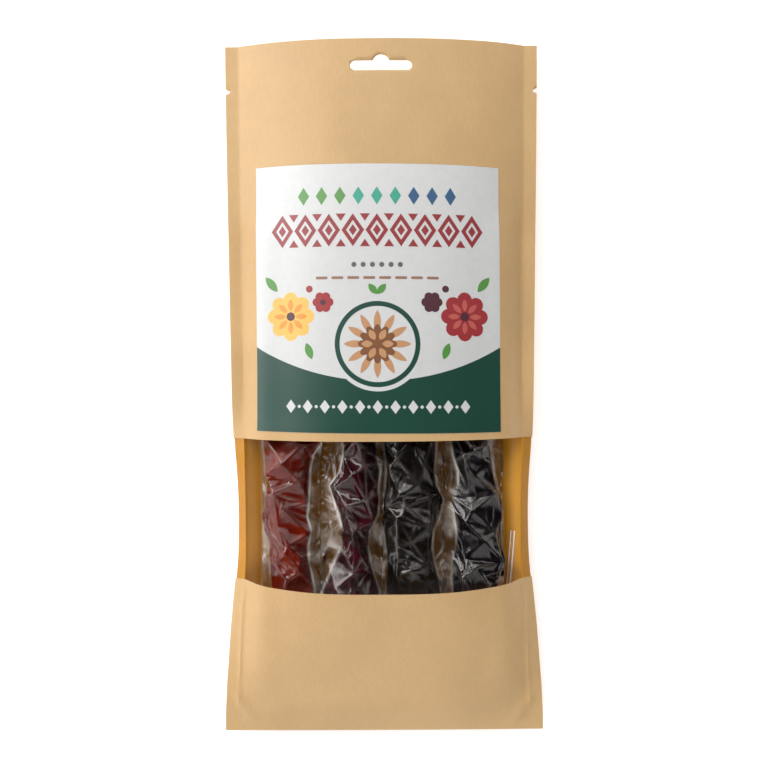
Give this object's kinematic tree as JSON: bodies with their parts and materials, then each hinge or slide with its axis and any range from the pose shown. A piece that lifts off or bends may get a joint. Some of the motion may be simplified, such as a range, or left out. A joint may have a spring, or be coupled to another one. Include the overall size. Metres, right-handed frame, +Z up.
{
  "type": "churchkhela pack",
  "caption": "Flat kraft-paper pouch with a clear window band, a paper label and a hang hole, filled with churchkhela sealed in clear film, lying on its back.",
  "frame": {"origin": "under the middle of the pouch, on the surface that it lies on", "axes": "+Z up through the window, +Y along the pouch from its bottom seal to its hang hole, +X to the right as one reads the label"},
  "size_m": [0.142, 0.3072, 0.0299],
  "materials": {
    "kraft_paper": "smooth kraft paper with a faint satin sheen",
    "clear_film": "clear glossy film",
    "coated_label": "coated white label paper, semi-gloss",
    "amber_juice": "red-brown set grape juice under clear film",
    "cherry_juice": "dark red set grape juice under clear film",
    "dark_juice": "nearly black set grape juice under clear film",
    "plum_juice": "blue-black set grape juice under clear film"
  },
  "bodies": {
    "root": {"pouch": "kraft_paper", "window_film": "clear_film", "label": "coated_label", "churchkhela_amber": "amber_juice", "churchkhela_cherry": "cherry_juice", "churchkhela_grape": "dark_juice", "churchkhela_plum": "plum_juice"}
  },
  "joints": []
}
